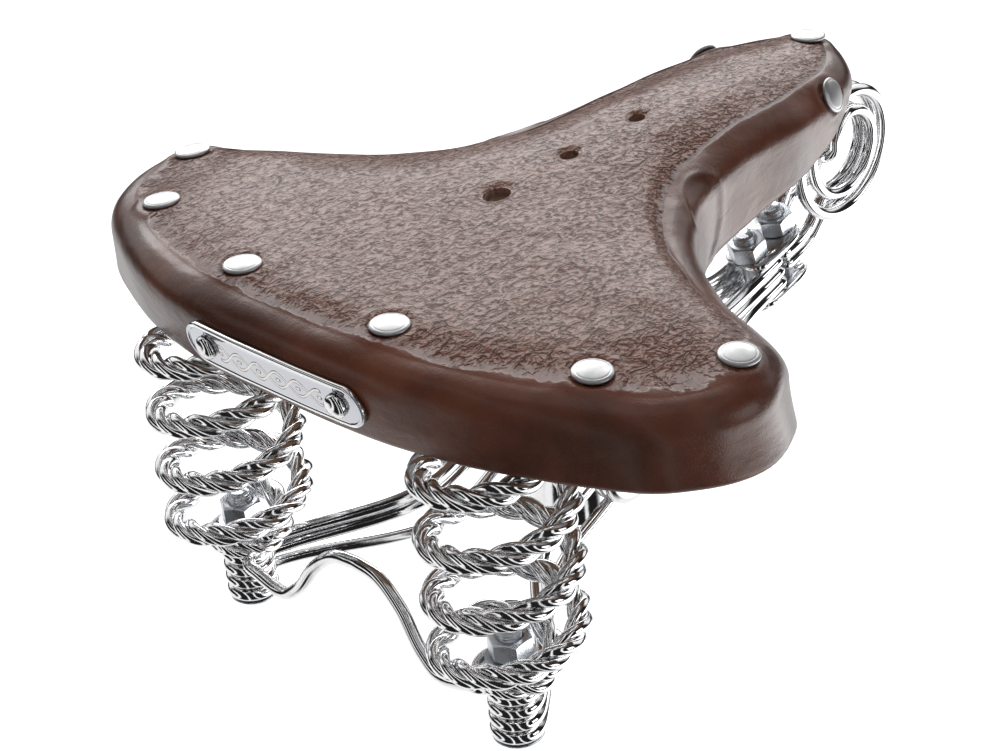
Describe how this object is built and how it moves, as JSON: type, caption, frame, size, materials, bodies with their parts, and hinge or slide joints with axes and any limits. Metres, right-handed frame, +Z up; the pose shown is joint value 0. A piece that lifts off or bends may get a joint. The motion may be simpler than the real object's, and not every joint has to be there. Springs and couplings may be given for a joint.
{
  "type": "bicycle saddle",
  "caption": "Leather bicycle saddle on twisted-rope rear coil springs and a plain wire frame with nose coils and a seat-post clip.",
  "frame": {"origin": "centre of the seat-post clip: the middle of its cross bolt, on the axis of its collar", "axes": "+X to the rider's right, +Y forwards to the nose, +Z up along the seat post"},
  "size_m": [0.2332, 0.2536, 0.1245],
  "materials": {
    "leather": "satin",
    "chrome": "polished",
    "zinc": "satin",
    "steel": "satin",
    "silver": "satin"
  },
  "bodies": {
    "post_clip": {"clip_collar": "chrome"},
    "clip_cheeks": {"clip_bolt": "zinc", "clip_cheek_inner_left": "chrome", "clip_cheek_outer_left": "chrome", "clip_nut_left": "zinc", "clip_cheek_inner_right": "chrome", "clip_cheek_outer_right": "chrome", "clip_nut_right": "zinc"},
    "frame": {"rear_cross_wire": "chrome", "front_clamp_upper": "chrome", "front_clamp_lower": "chrome", "clamp_bolt_rear": "zinc", "clamp_bolt_front": "zinc", "clamp_nut_rear": "zinc", "clamp_nut_front": "zinc", "front_coil_outer": "chrome", "front_coil_inner": "chrome", "rear_spring_left": "chrome", "rear_bolt_left": "zinc", "rear_washer_left": "zinc", "rear_nut_left": "zinc", "rail_upper_left": "chrome", "rail_middle_left": "chrome", "rail_lower_left": "chrome", "rear_spring_right": "chrome", "rear_bolt_right": "zinc", "rear_washer_right": "zinc", "rear_nut_right": "zinc", "rail_upper_right": "chrome", "rail_middle_right": "chrome", "rail_lower_right": "chrome"},
    "seat_top": {"leather_cover": "leather", "cantle_plate": "steel", "nose_plate": "steel", "badge_plate": "chrome", "badge_rivet_left": "silver", "badge_rivet_right": "silver", "rivet_nose_left": "silver", "rivet_nose_right": "silver", "rivet_nose_top": "silver", "nose_shackle": "steel", "tension_bolt": "zinc", "rivet_rear_inner_left": "silver", "rivet_rear_middle_left": "silver", "rivet_rear_outer_left": "silver", "spring_stud_left": "zinc", "stud_nut_left": "zinc", "rivet_rear_inner_right": "silver", "rivet_rear_middle_right": "silver", "rivet_rear_outer_right": "silver", "spring_stud_right": "zinc", "stud_nut_right": "zinc"},
    "tension_nut": {"tension_nut": "zinc"}
  },
  "joints": [
    {"name": "clip_tilt", "type": "hinge", "parent": "post_clip", "child": "clip_cheeks", "pos_m": [0, 0, 0], "axis": [1, 0, 0], "range_deg": [-20, 20]},
    {"name": "rail_slide", "type": "slide", "parent": "clip_cheeks", "child": "frame", "axis": [0, 0.9272, 0.3746], "range_m": [-0.012, 0.012]},
    {"name": "seat_suspension", "type": "hinge", "parent": "frame", "child": "seat_top", "pos_m": [0, 0.11933, 0.05048], "axis": [1, 0, 0], "range_deg": [0, 6], "stiffness_Nm_per_rad": 900, "springref_deg": -1.15, "deforming": ["rear_spring_left", "rear_spring_right", "front_coil_outer", "front_coil_inner"]},
    {"name": "tension_nut_turn", "type": "hinge", "parent": "seat_top", "child": "tension_nut", "pos_m": [0, 0.1, 0.07338], "axis": [0, 1, 0], "continuous": true}
  ]
}
